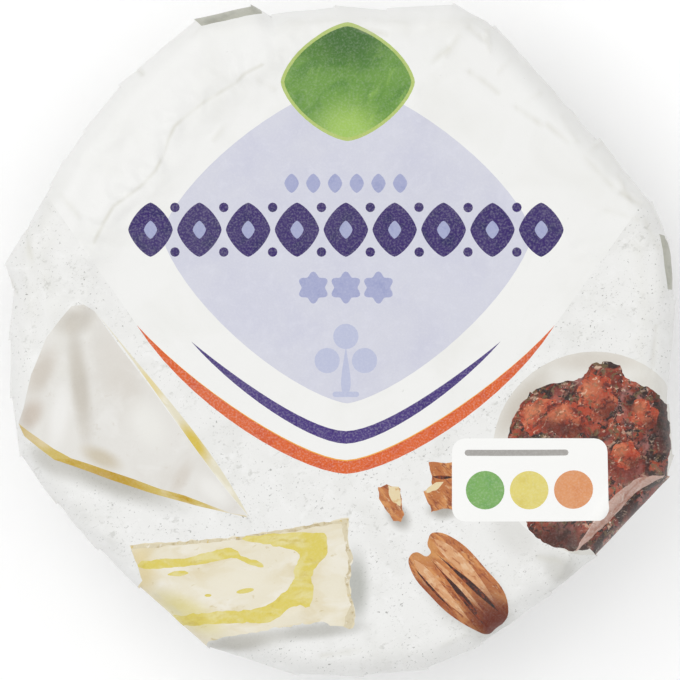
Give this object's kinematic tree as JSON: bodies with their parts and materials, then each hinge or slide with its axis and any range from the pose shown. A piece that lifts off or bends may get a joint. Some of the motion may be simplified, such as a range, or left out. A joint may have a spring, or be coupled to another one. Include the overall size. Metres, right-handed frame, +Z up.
{
  "type": "wrapped camembert cheese",
  "caption": "Round soft cheese shut in a printed paper wrapper, with a flat top, soft shoulder, knife pleats down the side and a gathered underside to rest on.",
  "frame": {"origin": "middle of the round's base, where the gathered underside rests", "axes": "+Z up through the round, +Y towards the edge where the paper's two top corners stand out, +X to the right of the print"},
  "size_m": [0.1122, 0.1128, 0.03],
  "materials": {
    "wrapper_paper": "semi-gloss coated wrapping paper, white, printed with fields of colour"
  },
  "bodies": {
    "root": {"wrapped_cheese": "wrapper_paper"}
  },
  "joints": []
}
